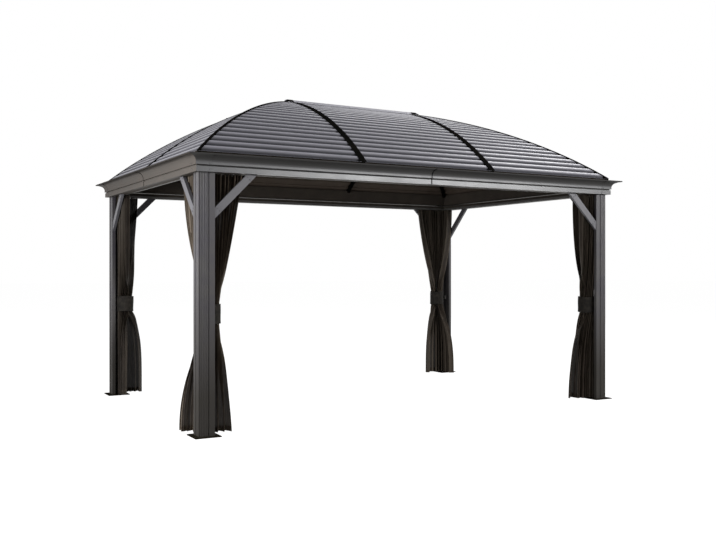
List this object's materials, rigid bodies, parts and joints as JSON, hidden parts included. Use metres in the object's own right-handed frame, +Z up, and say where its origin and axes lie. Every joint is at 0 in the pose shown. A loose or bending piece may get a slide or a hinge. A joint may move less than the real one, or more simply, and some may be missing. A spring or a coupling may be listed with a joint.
{
  "type": "hard-top garden gazebo with curtains",
  "caption": "Open-sided garden gazebo: fluted corner posts, knee braces, crown cornice, arched hip roof of corrugated sheet, and net curtains tied back at the posts.",
  "frame": {"origin": "on the ground under the centre of the roof", "axes": "+X along the long side, the front faces -Y, +Z up"},
  "size_m": [4.382, 2.948, 2.894],
  "materials": {
    "frame_coat": "charcoal powder coat",
    "roof_trim_coat": "dark grey powder coat",
    "cornice_coat": "charcoal powder coat",
    "roof_coat": "grey coil-coated corrugated steel",
    "rail_metal": "dark coated track",
    "curtain_net": "black mosquito net",
    "tie_webbing": "black woven band"
  },
  "bodies": {
    "root": {"back_beam": "frame_coat", "back_cornice": "cornice_coat", "back_curtain_rail": "rail_metal", "back_roof_sheets": "roof_coat", "base_plate_back_left": "frame_coat", "base_plate_back_right": "frame_coat", "base_plate_front_left": "frame_coat", "base_plate_front_right": "frame_coat", "curtain_back_left": "curtain_net", "curtain_back_right": "curtain_net", "curtain_front_left": "curtain_net", "curtain_front_right": "curtain_net", "curtain_tie_back_left": "tie_webbing", "curtain_tie_back_right": "tie_webbing", "curtain_tie_front_left": "tie_webbing", "curtain_tie_front_right": "tie_webbing", "front_beam": "frame_coat", "front_cornice": "cornice_coat", "front_curtain_rail": "rail_metal", "front_roof_sheets": "roof_coat", "hip_rib_back_left": "roof_trim_coat", "hip_rib_back_right": "roof_trim_coat", "hip_rib_front_left": "roof_trim_coat", "hip_rib_front_right": "roof_trim_coat", "knee_braces_back_left": "frame_coat", "knee_braces_back_right": "frame_coat", "knee_braces_front_left": "frame_coat", "knee_braces_front_right": "frame_coat", "left_beam": "frame_coat", "left_cornice": "cornice_coat", "left_curtain_rail": "rail_metal", "left_end_rib": "roof_trim_coat", "left_roof_sheets": "roof_coat", "post_back_left": "frame_coat", "post_back_right": "frame_coat", "post_front_left": "frame_coat", "post_front_right": "frame_coat", "ridge_beam": "roof_trim_coat", "right_beam": "frame_coat", "right_cornice": "cornice_coat", "right_curtain_rail": "rail_metal", "right_end_rib": "roof_trim_coat", "right_roof_sheets": "roof_coat", "slope_rib_back_left": "roof_trim_coat", "slope_rib_back_right": "roof_trim_coat", "slope_rib_front_left": "roof_trim_coat", "slope_rib_front_right": "roof_trim_coat"}
  },
  "joints": []
}
